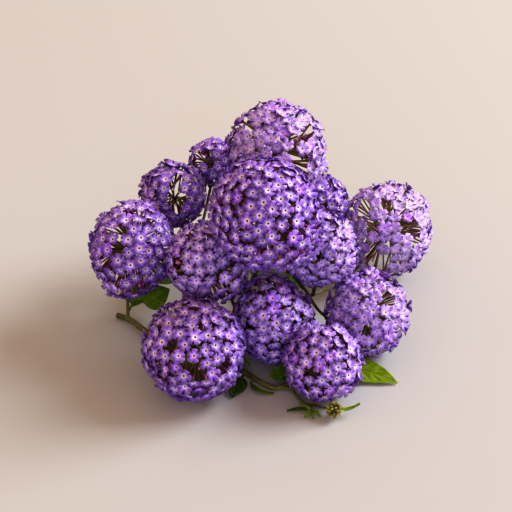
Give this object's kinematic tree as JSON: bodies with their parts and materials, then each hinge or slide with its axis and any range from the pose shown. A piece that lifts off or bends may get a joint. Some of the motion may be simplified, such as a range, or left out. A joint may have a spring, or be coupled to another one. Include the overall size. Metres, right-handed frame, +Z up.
{
  "type": "cut heliotrope shoot with ball-shaped flower heads",
  "caption": "Cut flowering shoot of heliotrope: round violet flower heads on one branched green stem with leaves and young buds, lying on its side.",
  "frame": {"origin": "the flat spot under the main stem, on the table, below the front of the bunch", "axes": "+Z up from the table, -Y towards the viewer's side, -X towards the cut end of the stem"},
  "size_m": [0.1479, 0.1243, 0.0895],
  "materials": {
    "petals": "soft matte petal tissue",
    "stem": "green stem with fine hairs",
    "leaf": "satin leaf with raised net of veins",
    "young_buds": "hairy green buds"
  },
  "bodies": {
    "root": {"stem": "stem", "flower_head_top": "petals", "flower_head_top_back": "petals", "flower_head_front_left": "petals", "flower_head_front_middle": "petals", "flower_head_front_right": "petals", "flower_head_right": "petals", "flower_head_back_right": "petals", "flower_head_middle_right": "petals", "flower_head_middle_left": "petals", "flower_head_left": "petals", "flower_head_back_left": "petals", "flower_head_back": "petals", "flower_head_back_middle": "petals", "leaf_right": "leaf", "leaf_front_middle": "leaf", "leaf_front_left": "leaf", "leaf_narrow": "leaf", "leaf_small": "leaf", "leaf_left_low": "leaf", "leaf_left_high": "leaf", "leaf_left_fork": "leaf", "leaf_back": "leaf", "leaf_back_left": "leaf", "tip_bracts": "leaf", "bud_cluster": "young_buds"}
  },
  "joints": []
}
